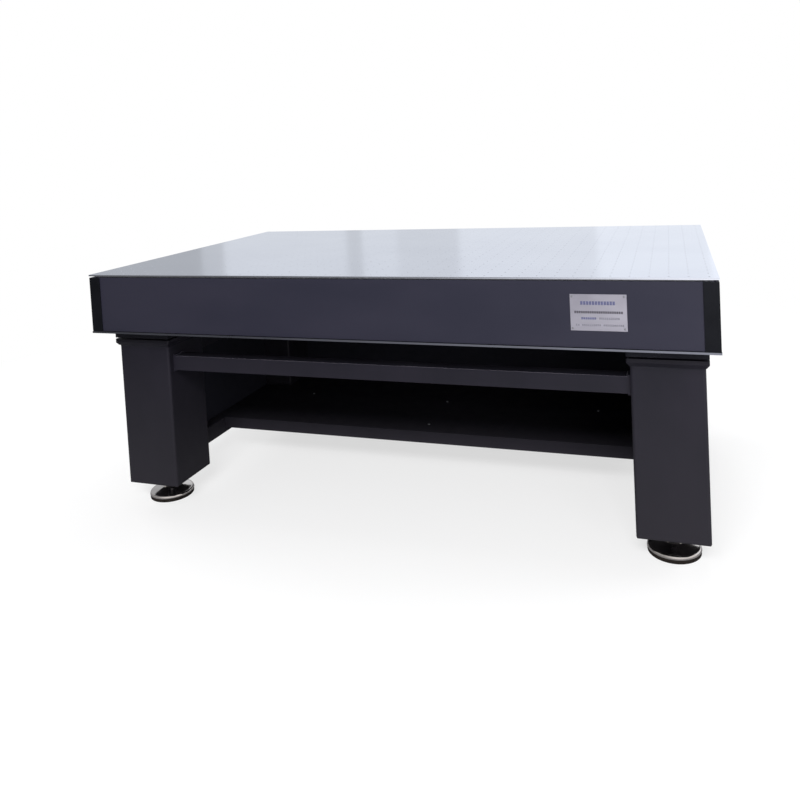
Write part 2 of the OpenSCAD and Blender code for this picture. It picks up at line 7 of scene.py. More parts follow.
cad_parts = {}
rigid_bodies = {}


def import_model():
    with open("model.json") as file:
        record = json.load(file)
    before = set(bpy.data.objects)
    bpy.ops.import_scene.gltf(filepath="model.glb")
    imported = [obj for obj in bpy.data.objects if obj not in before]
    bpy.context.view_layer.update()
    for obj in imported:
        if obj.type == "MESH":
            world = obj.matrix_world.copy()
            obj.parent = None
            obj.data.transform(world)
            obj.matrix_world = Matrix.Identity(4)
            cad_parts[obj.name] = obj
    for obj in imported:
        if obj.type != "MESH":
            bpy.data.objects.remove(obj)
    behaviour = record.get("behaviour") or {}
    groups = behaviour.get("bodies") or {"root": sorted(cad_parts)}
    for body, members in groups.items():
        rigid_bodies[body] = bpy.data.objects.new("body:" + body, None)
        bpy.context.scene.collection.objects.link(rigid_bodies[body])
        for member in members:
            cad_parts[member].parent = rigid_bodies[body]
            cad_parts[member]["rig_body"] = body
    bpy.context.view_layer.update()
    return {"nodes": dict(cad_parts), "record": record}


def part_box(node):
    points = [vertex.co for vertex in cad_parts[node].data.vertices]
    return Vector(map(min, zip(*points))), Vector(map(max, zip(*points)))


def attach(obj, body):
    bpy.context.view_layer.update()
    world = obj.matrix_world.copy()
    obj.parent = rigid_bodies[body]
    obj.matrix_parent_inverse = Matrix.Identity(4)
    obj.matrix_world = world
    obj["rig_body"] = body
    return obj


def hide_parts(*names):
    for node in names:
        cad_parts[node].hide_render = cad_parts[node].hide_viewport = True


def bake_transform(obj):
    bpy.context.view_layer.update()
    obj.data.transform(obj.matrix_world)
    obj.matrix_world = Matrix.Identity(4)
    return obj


# Vibration isolation table. Metres, +Z up, the front is -Y.

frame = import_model()
nodes = frame["nodes"]
scene = bpy.context.scene
legs = ["front_left", "front_right", "rear_left", "rear_right"]
mm = 0.001
print("frame loaded:", len(nodes), "CAD nodes")


cameraLook = {           # fitted to the straight edges of the table in the photo
    "place": (0.887, -2.634, 1.203),
    "yaw": -18.46,       # degrees to the right of +Y
    "pitch": 2.78,       # degrees downwards
    "roll": 2.99,
    "lens": 33.61,
    "sensor": 36,        # mm, across
    "shift": (-0.026, -0.27),
}


def makeCamera(look):
    yaw = math.radians(look["yaw"])
    pitch = math.radians(look["pitch"])
    roll = math.radians(look["roll"])
    ahead = Vector((math.sin(yaw) * math.cos(pitch), math.cos(yaw) * math.cos(pitch), -math.sin(pitch)))
    right = Vector((math.cos(yaw), -math.sin(yaw), 0))
    down = ahead.cross(right)
    sideways = right * math.cos(roll) + down * math.sin(roll)
    upwards = right * math.sin(roll) - down * math.cos(roll)
    camera = bpy.data.objects.new("camera", bpy.data.cameras.new("camera"))
    turned = Matrix((sideways, upwards, -ahead)).transposed().to_4x4()
    camera.matrix_world = Matrix.Translation(look["place"]) @ turned
    camera.data.lens = look["lens"]
    camera.data.sensor_width = look["sensor"]
    camera.data.shift_x, camera.data.shift_y = look["shift"]
    scene.collection.objects.link(camera)
    scene.camera = camera


makeCamera(cameraLook)
print("camera placed")


def linearColour(colour):  # 0 to 255, as a picture holds it
    parts = []
    for part in colour:
        value = part / 255
        parts.append(value / 12.92 if value <= 0.04045 else ((value + 0.055) / 1.055) ** 2.4)
    return (*parts, 1)


def addNode(tree, kind, **values):
    node = tree.nodes.new(kind)
    for name, value in values.items():
        setattr(node, name, value)
    return node


def remap(tree, source, low, high, toLow, toHigh):
    node = addNode(tree, "ShaderNodeMapRange")
    tree.links.new(source, node.inputs["Value"])
    node.inputs["From Min"].default_value = low
    node.inputs["From Max"].default_value = high
    node.inputs["To Min"].default_value = toLow
    node.inputs["To Max"].default_value = toHigh
    return node.outputs["Result"]


def noiseAt(tree, size, stretch, detail=3):  # size in metres, stretch per axis
    place = addNode(tree, "ShaderNodeTexCoord")
    mapping = addNode(tree, "ShaderNodeMapping")
    mapping.inputs["Scale"].default_value = [1 / part for part in stretch]
    noise = addNode(tree, "ShaderNodeTexNoise")
    noise.inputs["Scale"].default_value = 1 / size
    noise.inputs["Detail"].default_value = detail
    tree.links.new(place.outputs["Object"], mapping.inputs["Vector"])
    tree.links.new(mapping.outputs["Vector"], noise.inputs["Vector"])
    return noise.outputs["Fac"]


def mixColours(tree, factor, first, second):
    mix = addNode(tree, "ShaderNodeMix", data_type="RGBA")
    tree.links.new(factor, mix.inputs["Factor"])
    for name, colour in (("A", first), ("B", second)):
        socket = [entry for entry in mix.inputs if entry.name == name and entry.type == "RGBA"][0]
        if isinstance(colour, bpy.types.NodeSocket):
            tree.links.new(colour, socket)
        else:
            socket.default_value = colour
    return [entry for entry in mix.outputs if entry.type == "RGBA"][0]


# Colours are 0 to 255, sizes are metres, and a stretch is a factor along each axis. The colour drifts to the
# other one in patches, and the roughness drifts between its two values in finer smudges.
finishes = {
    "skin_steel": {      # fine brushed stainless, grain along the table
        "colour": (232, 235, 246), "other": (226, 229, 241), "metallic": 1, "specular": 0.5,
        "roughness": (0.10, 0.14), "patch": 0.35, "patchStretch": (1, 1, 1),
        "grain": 0.0012, "grainStretch": (40, 1, 1), "grainDepth": 0.000006,
    },
    "dull_steel": {      # cut edges of the table's bottom skin
        "colour": (142, 144, 156), "other": (130, 132, 143), "metallic": 1, "specular": 0.5,
        "roughness": (0.26, 0.34), "patch": 0.3, "patchStretch": (1, 1, 1),
        "grain": 0.0014, "grainStretch": (20, 1, 1), "grainDepth": 0.00001,
    },
    "painted_shade_steel": {    # level faces of the bottom skin, rougher steel whose colour is darkened as painted shade under the table
        "colour": (60, 61, 66), "other": (50, 51, 56), "metallic": 1, "specular": 0.5,
        "roughness": (0.42, 0.56), "patch": 0.3, "patchStretch": (1, 1, 1),
        "grain": 0.0014, "grainStretch": (20, 1, 1), "grainDepth": 0.00002,
    },
    "panel_paint": {
        "colour": (39, 39, 52), "other": (45, 44, 57), "metallic": 0, "specular": 0.3,
        "roughness": (0.42, 0.52), "patch": 0.30, "patchStretch": (1.6, 1, 0.7),
        "grain": 0.0016, "grainStretch": (1, 1, 1), "grainDepth": 0.00001,
    },
    "guard_plastic": {
        "colour": (14, 15, 19), "other": (19, 20, 25), "metallic": 0, "specular": 0.12,
        "roughness": (0.34, 0.44), "patch": 0.08, "patchStretch": (1, 1, 1),
        "grain": 0.0012, "grainStretch": (1, 1, 1), "grainDepth": 0.00001,
    },
    "nameplate_metal": {
        "colour": (199, 196, 209), "other": (186, 183, 196), "metallic": 1, "specular": 0.5,
        "roughness": (0.34, 0.42), "patch": 0.05, "patchStretch": (2, 1, 1),
        "grain": 0.0005, "grainStretch": (30, 1, 1), "grainDepth": 0.000004,
    },
    "core_foil": {
        "colour": (196, 199, 206), "other": (184, 188, 196), "metallic": 1, "specular": 0.5,
        "roughness": (0.35, 0.45), "patch": 0.05, "patchStretch": (1, 1, 1),
        "grain": 0.002, "grainStretch": (1, 1, 6), "grainDepth": 0.00002,
    },
    "zinc_steel": {
        "colour": (188, 189, 194), "other": (170, 171, 178), "metallic": 1, "specular": 0.5,
        "roughness": (0.26, 0.40), "patch": 0.012, "patchStretch": (1, 1, 1),
        "grain": 0.0008, "grainStretch": (1, 1, 1), "grainDepth": 0.000005,
    },
    "dark_paint": {
        "colour": (38, 38, 44), "other": (44, 44, 50), "metallic": 0, "specular": 0.06,
        "roughness": (0.55, 0.66), "patch": 0.2, "patchStretch": (1, 1, 1),
        "grain": 0.0016, "grainStretch": (1, 1, 1), "grainDepth": 0.000015,
        "dust": (52, 52, 64), "dustTop": 0.62,
    },
    "leg_paint": {       # fine orange peel, with a little dust low down
        "colour": (29, 28, 36), "other": (34, 32, 41), "metallic": 0, "specular": 0.22,
        "roughness": (0.38, 0.50), "patch": 0.16, "patchStretch": (1, 1, 1.8),
        "grain": 0.0018, "grainStretch": (1, 1, 1), "grainDepth": 0.00002,
        "dust": (58, 56, 60), "dustTop": 0.56,
    },
    "dusty_paint": {     # level faces of the rails, darker and duller as painted shade under the table top
        "colour": (27, 26, 33), "other": (33, 32, 39), "metallic": 0, "specular": 0.02,
        "roughness": (0.80, 0.94), "patch": 0.16, "patchStretch": (1, 1, 1),
        "grain": 0.0018, "grainStretch": (1, 1, 1), "grainDepth": 0.00002,
    },
    "painted_highlight_paint": {    # rolled corners of the front rail that look up, painted pale as a painted highlight
        "colour": (104, 102, 113), "other": (112, 109, 120), "metallic": 0, "specular": 0.3,
        "roughness": (0.38, 0.50), "patch": 0.16, "patchStretch": (1, 1, 1),
        "grain": 0.0018, "grainStretch": (1, 1, 1), "grainDepth": 0.00002,
    },
    "foot_chrome": {
        "colour": (224, 217, 212), "other": (214, 208, 204), "metallic": 1, "specular": 0.5,
        "roughness": (0.08, 0.16), "patch": 0.03, "patchStretch": (1, 1, 1),
        "grain": 0.0009, "grainStretch": (1, 1, 1), "grainDepth": 0.000002,
    },
    "black_steel": {
        "colour": (34, 34, 38), "other": (44, 43, 46), "metallic": 0, "specular": 0.45,
        "roughness": (0.3, 0.45), "patch": 0.01, "patchStretch": (1, 1, 1),
        "grain": 0.0008, "grainStretch": (1, 1, 1), "grainDepth": 0.000008,
    },
    "rubber": {
        "colour": (30, 26, 24), "other": (40, 35, 31), "metallic": 0, "specular": 0.2,
        "roughness": (0.7, 0.85), "patch": 0.02, "patchStretch": (1, 1, 1),
        "grain": 0.001, "grainStretch": (1, 1, 1), "grainDepth": 0.00004,
    },
}

drift = {
    "patchSpan": (0.35, 0.65),   # noise values between which a patch changes its colour
    "smudgeSpan": (0.3, 0.7),    # the same for the roughness
    "finer": 3,                  # smudges across a patch
    "smudgeDetail": 4,
    "grainDetail": 2,
    "dustShare": 0.5,            # at the floor, down to none at dustTop
}
inkLook = {
    "colours": {"ink_blue": (88, 90, 120), "ink_dark": (72, 70, 78), "ink_grey": (120, 119, 129)},
    "lighter": 14,               # levels that worn print is lighter
    "wornSize": 0.002,
    "wornSpan": (0.4, 0.7),
    "roughness": 0.5,
    "specular": 0.2,
}


def makeFinish(name, look):
    material = bpy.data.materials.new(name)
    material.use_nodes = True
    tree = material.node_tree
    shader = tree.nodes["Principled BSDF"]
    shader.inputs["Metallic"].default_value = look["metallic"]
    shader.inputs["Specular IOR Level"].default_value = look["specular"]
    patches = noiseAt(tree, look["patch"], look["patchStretch"])
    share = remap(tree, patches, *drift["patchSpan"], 0, 1)
    colour = mixColours(tree, share, linearColour(look["colour"]), linearColour(look["other"]))
    if "dust" in look:
        place = addNode(tree, "ShaderNodeTexCoord")
        parts = addNode(tree, "ShaderNodeSeparateXYZ")
        tree.links.new(place.outputs["Object"], parts.inputs["Vector"])
        fade = remap(tree, parts.outputs["Z"], 0, look["dustTop"], drift["dustShare"], 0)
        colour = mixColours(tree, fade, colour, linearColour(look["dust"]))
    tree.links.new(colour, shader.inputs["Base Color"])
    smudges = noiseAt(tree, look["patch"] / drift["finer"], look["patchStretch"], drift["smudgeDetail"])
    gloss = remap(tree, smudges, *drift["smudgeSpan"], *look["roughness"])
    tree.links.new(gloss, shader.inputs["Roughness"])
    bump = addNode(tree, "ShaderNodeBump")
    bump.inputs["Distance"].default_value = look["grainDepth"]
    grain = noiseAt(tree, look["grain"], look["grainStretch"], drift["grainDetail"])
    tree.links.new(grain, bump.inputs["Height"])
    tree.links.new(bump.outputs["Normal"], shader.inputs["Normal"])
    return material


def makeInk(name, colour, look):
    material = bpy.data.materials.new(name)
    material.use_nodes = True
    tree = material.node_tree
    shader = tree.nodes["Principled BSDF"]
    worn = remap(tree, noiseAt(tree, look["wornSize"], (1, 1, 1)), *look["wornSpan"], 0, 1)
    lighter = linearColour([part + look["lighter"] for part in colour])
    mixed = mixColours(tree, worn, linearColour(colour), lighter)
    tree.links.new(mixed, shader.inputs["Base Color"])
    shader.inputs["Roughness"].default_value = look["roughness"]
    shader.inputs["Specular IOR Level"].default_value = look["specular"]
    return material


surfaces = {name: makeFinish(name, look) for name, look in finishes.items()}
inks = [makeInk(name, colour, inkLook) for name, colour in inkLook["colours"].items()]
slotOf = {entry["node"]: entry["material_slot"] for entry in frame["record"]["subparts"]}

for nodeName, part in nodes.items():
    surface = surfaces[slotOf[nodeName]]
    if not part.material_slots:
        part.data.materials.append(surface)
    for entry in part.material_slots:
        entry.material = surface
print("finishes made:", len(surfaces))


# Points that lie closer than this become one, or count as on a cut or its rim.
joinWithin = {
    "cut": 0.0005 * mm, "rim": 0.01 * mm, "node": 0.001 * mm, "piece": 0.002 * mm, "plate": 0.01 * mm,
}
edgeLook = {
    "flat": 1,         # degrees between two faces up to which they are one face
    "convex": 35,      # degrees from which an edge is rounded
    "segments": 2,
    "longSegments": 4,
    "long": 0.2,       # length from which an edge is a long one
    "level": 0.9,      # upward part of the normal, from which a face is level
    "tilted": 0.15,    # and from which it belongs to a corner that looks up
}
hexagon = 6            # corners
pointRing = 0.0005     # mm, radius of a ring that closes to a point


# Takes the bmesh and gives its object. Edges sharper than the angle stay sharp in the shading.
def finishPiece(name, bm, body, slotName, replaced, sharp=30, surface=None):
    bmesh.ops.recalc_face_normals(bm, faces=bm.faces)
    for face in bm.faces:
        face.smooth = True
    mesh = bpy.data.meshes.new(name)
    bm.to_mesh(mesh)
    bm.free()
    mesh.set_sharp_from_angle(angle=math.radians(sharp))
    mesh.materials.append(surface or surfaces[slotName])
    piece = bpy.data.objects.new(name, mesh)
    scene.collection.objects.link(piece)
    if body:
        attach(piece, body)
    if replaced:
        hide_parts(*replaced)
    return piece


def mergedCopy(node):  # a CAD node's loose triangles, joined
    bm = bmesh.new()
    bm.from_mesh(nodes[node].data)
    bmesh.ops.remove_doubles(bm, verts=bm.verts, dist=joinWithin["node"])
    return bm


def roundEdges(bm, width, segments, isWanted):
    edges = [edge for edge in bm.edges if len(edge.link_faces) == 2 and isWanted(edge)]
    bmesh.ops.bevel(
        bm, geom=edges, offset=width, offset_type="OFFSET", segments=segments, profile=0.5,
        affect="EDGES", clamp_overlap=True, material=-1,
    )


def isConvex(edge):
    return edge.calc_face_angle_signed(0) > math.radians(edgeLook["convex"])


def addTo(bm, one, matrix):  # adds a finished bmesh to another, and frees it
    bmesh.ops.transform(one, matrix=matrix, verts=one.verts)
    carrier = bpy.data.meshes.new("carrier")
    one.to_mesh(carrier)
    one.free()
    bm.from_mesh(carrier)
    bpy.data.meshes.remove(carrier)


def softenedCopy(node, width, longWidth=0):  # a CAD node with rounded edges
    bm = mergedCopy(node)
    bmesh.ops.dissolve_limit(
        bm, angle_limit=math.radians(edgeLook["flat"]), verts=bm.verts, edges=bm.edges,
        use_dissolve_boundaries=False,
    )
    if longWidth:
        roundEdges(bm, longWidth, edgeLook["longSegments"],
                   lambda edge: isConvex(edge) and edge.calc_length() > edgeLook["long"])
    roundEdges(bm, width, edgeLook["segments"], isConvex)
    piece = finishPiece(node + "_soft", bm, nodes[node]["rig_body"], slotOf[node], [node])
    # level faces get a darker finish, painted shade under the table top
    if node in paintedShadeOnLevel:
        paintFaces(piece, paintedShadeOnLevel[node], lambda up: abs(up) > edgeLook["level"])
    # corners that look up get a paler finish, a painted highlight
    if node in paintedHighlightCorners:
        paintFaces(piece, paintedHighlightCorners[node], lambda up: edgeLook["tilted"] < up < edgeLook["level"])
    shadeEvenly(piece)


def paintFaces(piece, finish, isPainted):  # asked with the upward part of a face's normal
    piece.data.materials.append(surfaces[finish])
    number = len(piece.data.materials) - 1
    for face in piece.data.polygons:
        if isPainted(face.normal.z):
            face.material_index = number


def shadeEvenly(piece):  # flat faces stay flat up to their rounded edges
    even = piece.modifiers.new("even shading", "WEIGHTED_NORMAL")
    even.keep_sharp = True


def solidBoxes(node):  # lowest and highest corner of each solid in a node
    bm = mergedCopy(node)
    waiting = set(bm.verts)
    boxes = []
    while waiting:
        group = [waiting.pop()]
        for vert in group:
            for edge in vert.link_edges:
                other = edge.other_vert(vert)
                if other in waiting:
                    waiting.remove(other)
                    group.append(other)
        spots = [[vert.co[axis] for vert in group] for axis in range(3)]
        boxes.append((Vector(map(min, spots)), Vector(map(max, spots))))
    bm.free()
    return sorted(boxes, key=lambda pair: tuple(pair[0]))


# Points are radius and height in mm. Rounding gives a point's number, a width in mm and the segments.
def spinProfile(bm, points, steps, rounding=()):
    verts = [bm.verts.new((radius * mm, 0, height * mm)) for radius, height in points]
    for pair in zip(verts, verts[1:]):
        bm.edges.new(pair)
    for index, width, segments in rounding:
        bmesh.ops.bevel(
            bm, geom=[verts[index]], offset=width * mm, segments=segments, profile=0.5,
            affect="VERTICES", material=-1,
        )
    wire = [vert for vert in bm.verts if not vert.link_faces]
    edges = [edge for edge in bm.edges if not edge.link_faces]
    bmesh.ops.spin(
        bm, geom=wire + edges, cent=(0, 0, 0), axis=(0, 0, 1), dvec=(0, 0, 0), angle=math.tau,
        space=Matrix.Identity(4), steps=steps, use_merge=True, use_normal_flip=False, use_duplicate=False,
    )
    bmesh.ops.remove_doubles(bm, verts=bm.verts, dist=joinWithin["piece"])


def ringPoint(angle, radius, height, corners):  # on a circle, or on a polygon where corners are given
    if corners:
        half = math.pi / corners
        radius = radius * math.cos(half) / math.cos(angle % (2 * half) - half)
    return Vector((math.cos(angle) * radius, math.sin(angle) * radius, height))


def loftRings(bm, rings, segments):  # rings are radius, height in mm, corners
    made = bmesh.ops.create_circle(bm, segments=segments, radius=1, cap_ends=False)["verts"]
    start = set(made)
    edges = [edge for edge in bm.edges if edge.verts[0] in start and edge.verts[1] in start]
    angles = {vert: math.atan2(vert.co.y, vert.co.x) for vert in made}
    for number, (radius, height, corners) in enumerate(rings):
        if number:
            grown = bmesh.ops.extrude_edge_only(bm, edges=edges)["geom"]
            made = [entry for entry in grown if isinstance(entry, bmesh.types.BMVert)]
            edges = [entry for entry in grown if isinstance(entry, bmesh.types.BMEdge)]
            fresh = set(made)
            edges = [edge for edge in edges if edge.verts[0] in fresh and edge.verts[1] in fresh]
            angles = {vert: math.atan2(vert.co.y, vert.co.x) for vert in made}
        for vert in made:
            vert.co = ringPoint(angles[vert], max(radius, pointRing) * mm, height * mm, corners)
    bmesh.ops.remove_doubles(bm, verts=bm.verts, dist=joinWithin["piece"])


topPlate = {
    "pitch": 50 * mm,        # between the tapped holes
    "holeRadius": 2.5 * mm,
    "countersink": 0.6 * mm,
    "holeSides": 12,         # 4 times an odd number
    "inset": 0.2,            # of the pitch or the hole's radius, before the points move to their ring
    "edgeRounding": 0.9 * mm,
    "near": 0.1 * mm,        # of the plate's outer faces
}


def cutTappedCell(bm, look, thick):  # one square of the plate, with a hole in its middle
    bmesh.ops.create_grid(bm, x_segments=1, y_segments=1, size=look["pitch"] / 2)
    sides = look["holeSides"]
    bmesh.ops.subdivide_edges(bm, edges=bm.edges[:], cuts=sides // 4 - 1, use_grid_fill=False)
    bm.faces.ensure_lookup_table()
    middle = bm.faces[0]
    outline = {snapAngle(vert.co, sides): vert.co.copy() for vert in middle.verts}
    bmesh.ops.inset_individual(bm, faces=[middle], thickness=look["pitch"] * look["inset"])
    wide = look["holeRadius"] + look["countersink"]
    for vert in middle.verts:
        vert.co = ringPoint(snapAngle(vert.co, sides), wide, 0, 0)
    for depth in (look["countersink"], thick):
        bmesh.ops.inset_individual(bm, faces=[middle], thickness=look["holeRadius"] * look["inset"])
        for vert in middle.verts:
            vert.co = ringPoint(snapAngle(vert.co, sides), look["holeRadius"], -depth, 0)
    rim = middle.edges[:]
    bmesh.ops.delete(bm, geom=[middle], context="FACES_ONLY")
    grown = bmesh.ops.extrude_edge_only(bm, edges=rim)["geom"]
    for vert in grown:
        if isinstance(vert, bmesh.types.BMVert):
            vert.co = outline[snapAngle(vert.co, sides)] - Vector((0, 0, thick))


def snapAngle(spot, sides):  # the nearest of the directions round a hole
    step = math.tau / sides
    turned = math.atan2(spot.y, spot.x) % math.tau
    return (math.floor(turned / step) + 0.5) * step


def makeTopPlate(look):
    low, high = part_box("top_skin")
    size = high - low
    pitch = look["pitch"]
    bm = bmesh.new()
    cutTappedCell(bm, look, size.z)
    for step, count in ((Vector((pitch, 0, 0)), size.x / pitch), (Vector((0, pitch, 0)), size.y / pitch)):
        row = bm.verts[:] + bm.edges[:] + bm.faces[:]
        for number in range(1, round(count)):
            copied = bmesh.ops.duplicate(bm, geom=row)["geom"]
            moved = [entry for entry in copied if isinstance(entry, bmesh.types.BMVert)]
            bmesh.ops.translate(bm, verts=moved, vec=step * number)
    first = Vector((low.x + pitch / 2, low.y + pitch / 2, high.z))
    bmesh.ops.translate(bm, verts=bm.verts, vec=first)
    bmesh.ops.remove_doubles(bm, verts=bm.verts, dist=joinWithin["plate"])
    near = look["near"]
    outer = [edge for edge in bm.edges if edge.is_boundary and edge.verts[0].co.z > high.z - near]
    grown = bmesh.ops.extrude_edge_only(bm, edges=outer)["geom"]
    moved = [entry for entry in grown if isinstance(entry, bmesh.types.BMVert)]
    bmesh.ops.translate(bm, verts=moved, vec=(0, 0, -size.z))
    bmesh.ops.remove_doubles(bm, verts=bm.verts, dist=joinWithin["plate"])
    bmesh.ops.recalc_face_normals(bm, faces=bm.faces)

    def isOuter(edge):
        ends = [vert.co for vert in edge.verts]
        beside = [abs(abs(end.x) - high.x) < near or abs(abs(end.y) - high.y) < near for end in ends]
        return all(beside) and isConvex(edge)

    roundEdges(bm, look["edgeRounding"], edgeLook["segments"], isOuter)
    shadeEvenly(finishPiece("top_plate_tapped", bm, "tabletop", "skin_steel", ["top_skin"]))


makeTopPlate(topPlate)
print("top plate made")


softEdges = {     # rounding of each piece's edges, in mm
    "bottom_skin": 0.8,
    "corner_guards": 0.9,
    "nameplate": 0.35,
    "adapter_plates": 1.0,
    "dust_seals": 0.8,
    "base_plates": 0.8,
    "back_panel": 0.6,
    "side_cover_left": 0.6,
    "side_cover_right": 0.6,
    "side_panel_front": 0.5,
    "side_panel_rear": 0.5,
    "side_panel_left": 0.5,
    "side_panel_right": 0.5,
}
softLegEdges = {"piston": 1.0, "leg_cap": 1.1}  # one on each leg
tubeEdges = {"long": 3.0, "short": 0.8}  # rolled corners of the tubes, and their cut edges
upperRails = ["upper_rail_front", "upper_rail_rear", "upper_rail_left", "upper_rail_right"]
tubes = upperRails + [
    "lower_rail_rear", "lower_rail_left", "lower_rail_right",
    "shelf_support_front", "shelf_support_rear", "shelf_pan",
]
# level faces of the bottom skin and the upper rails get darker copies of their finish: painted shade under
# the table top
paintedShadeOnLevel = {"bottom_skin": "painted_shade_steel", **{rail: "dusty_paint" for rail in upperRails}}
# the front rail's upward corners get a pale copy of the leg paint: a painted highlight
paintedHighlightCorners = {"upper_rail_front": "painted_highlight_paint"}

for nodeName, width in softEdges.items():
    softenedCopy(nodeName, width * mm)
for nodeStart, width in softLegEdges.items():
    for leg in legs:
        softenedCopy(nodeStart + "_" + leg, width * mm)
for nodeName in tubes:
    softenedCopy(nodeName, tubeEdges["short"] * mm, tubeEdges["long"] * mm)
print("edges softened")


weldLook = {       # lengths in mm
    "flange": 8,   # thickness of a rail's end flange
    "lip": 4,      # height of the flange above the tube
    "bare": 2,     # at each end of a bead
    "reach": 3.2,
    "sunk": 0.3,
    "crown": ((1, 0), (0.83, 0.38), (0.6, 0.6), (0.38, 0.83), (0, 1)),  # as shares of the reach
    "endShare": 0.25,
    "ripple": 0.07,
    "ripplePitch": 3.4,
    "steps": 60,
}


def weldBead(look, length):  # runs along Y in the corner between the planes of x = 0 and z = 0
    bm = bmesh.new()
    sunk = -look["sunk"]
    section = [(sunk, sunk), (1, sunk), *look["crown"], (sunk, 1)]
    verts = [bm.verts.new((0, 0, 0)) for _ in section]
    edges = [bm.edges.new(pair) for pair in zip(verts, verts[1:] + verts[:1])]
    bmesh.ops.holes_fill(bm, edges=edges, sides=0)
    for number in range(look["steps"] + 1):
        if number:
            grown = bmesh.ops.extrude_edge_only(bm, edges=edges)["geom"]
            fresh = [entry for entry in grown if isinstance(entry, bmesh.types.BMVert)]
            edges = [edge for edge in grown if isinstance(edge, bmesh.types.BMEdge)
                     and edge.verts[0] in fresh and edge.verts[1] in fresh]
            verts = [next(edge.other_vert(vert) for edge in vert.link_edges if edge.other_vert(vert) in fresh)
                     for vert in verts]
        place = length * (number / look["steps"] - 0.5)
        taper = min(1, (length / 2 - abs(place)) / look["reach"] + look["endShare"]) ** 0.5
        ripple = 1 + look["ripple"] * math.sin(math.tau * place / look["ripplePitch"])
        for vert, (across, up) in zip(verts, section):
            reach = look["reach"] * taper * ripple
            vert.co = (max(across * reach, sunk) * mm, place * mm, max(up * reach, sunk) * mm)
    bmesh.ops.holes_fill(bm, edges=edges, sides=0)
    return bm


def makeRailWelds(look):
    bm = bmesh.new()
    upwards = Vector((0, 0, 1))
    for node in upperRails:
        low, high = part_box(node)
        size = high - low
        axis = 0 if size.x > size.y else 1
        for side in (-1, 1):
            inwards = Vector((0, 0, 0))
            inwards[axis] = -side
            for level in (-1, 1):
                place = (low + high) / 2 + inwards * (look["flange"] * mm - size[axis] / 2)
                place += upwards * level * (size.z / 2 - look["lip"] * mm)
                one = weldBead(look, size[1 - axis] / mm - 2 * look["bare"])
                turned = Matrix((inwards, (upwards * level).cross(inwards), upwards * level)).transposed()
                addTo(bm, one, Matrix.Translation(place) @ turned.to_4x4())
    finishPiece("rail_welds", bm, "frame", "leg_paint", [], sharp=50)


makeRailWelds(weldLook)
print("welds made")


nameplateFields = {
    "proud": 0.12 * mm,
    "gap": 0.2,  # between the blocks of a row, as a share of their pitch
    "rows": [    # number of the ink, blocks, then left, right, top and bottom as shares of the plate
        (0, 12, 0.18, 0.80, 0.81, 0.71),
        (1, 22, 0.07, 0.93, 0.54, 0.475),
        (0, 7, 0.19, 0.46, 0.37, 0.31),
        (2, 11, 0.51, 0.87, 0.37, 0.31),
        (2, 2, 0.09, 0.16, 0.18, 0.13),
        (2, 10, 0.20, 0.54, 0.18, 0.13),
        (2, 11, 0.58, 0.94, 0.18, 0.13),
    ],
}


def makeNameplateFields(look):
    low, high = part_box("nameplate")
    size = high - low
    bm = bmesh.new()
    for ink, blocks, left, right, top, bottom in look["rows"]:
        pitch = size.x * (right - left) / blocks
        scale = Matrix.Diagonal((pitch * (1 - look["gap"]), look["proud"] * 2, size.z * (top - bottom), 1))
        for number in range(blocks):
            across = low.x + size.x * left + pitch * (number + 0.5)
            middle = Vector((across, low.y, low.z + size.z * (top + bottom) / 2))
            made = bmesh.ops.create_cube(bm, size=1, matrix=Matrix.Translation(middle) @ scale)["verts"]
            for face in {face for vert in made for face in vert.link_faces}:
                face.material_index = ink
    fields = finishPiece("nameplate_fields", bm, "tabletop", "nameplate_metal", [], surface=inks[0])
    for ink in inks[1:]:
        fields.data.materials.append(ink)


makeNameplateFields(nameplateFields)


rivetLook = {
    "headRadius": 3, "headHeight": 1.5, "shankRadius": 1.5, "steps": 24,
    "dome": ((0, 1), (0.55, 0.92), (0.85, 0.62), (1, 0.15), (1, 0)),  # as shares of the head
}


def makeRivets(look):
    bm = bmesh.new()
    outward = Matrix.Rotation(math.radians(90), 4, "X")  # +Z to -Y
    for low, high in solidBoxes("nameplate_rivets"):
        length = (high.y - low.y) / mm
        tip = look["headHeight"]
        one = bmesh.new()
        points = [(look["headRadius"] * across, tip * up) for across, up in look["dome"]]
        points += [(look["shankRadius"], 0), (look["shankRadius"], tip - length), (0, tip - length)]
        spinProfile(one, points, look["steps"])
        place = Vector(((low.x + high.x) / 2, low.y + tip * mm, (low.z + high.z) / 2))
        addTo(bm, one, Matrix.Translation(place) @ outward)
    finishPiece("nameplate_rivets_domed", bm, "tabletop", "zinc_steel", ["nameplate_rivets"], sharp=40)


makeRivets(rivetLook)
print("nameplate made")


screwLook = {
    "headRadius": 6, "headHeight": 3.5, "shankRadius": 3, "edge": 0.2, "segments": 24,
    "socket": 2.3, "socketDepth": 2, "socketSlope": (0.5, 0.15),     # its width and depth
    "crown": ((0.68, 0.35), (0.86, 1.0), (0.97, 1.9), (1, 2.8)),     # share of the radius, depth in mm
}


def buttonScrew(look, length):  # the underside of its head is at 0
    top = look["headHeight"]
    floor = top - look["socketDepth"]
    tip = top - length
    radius = look["headRadius"]
    key = look["socket"]
    slopeWidth, slopeDepth = look["socketSlope"]
    rings = [(0, floor, hexagon), (key, floor, hexagon), (key, top - slopeDepth, hexagon)]
    rings += [(key + slopeWidth, top, 0)]
    rings += [(radius * share, top - depth, 0) for share, depth in look["crown"]]
    rings += [(radius, look["edge"], 0), (radius - look["edge"], 0, 0)]
    rings += [(look["shankRadius"], 0, 0), (look["shankRadius"], tip, 0), (0, tip, 0)]
    one = bmesh.new()
    loftRings(one, rings, look["segments"])
    return one


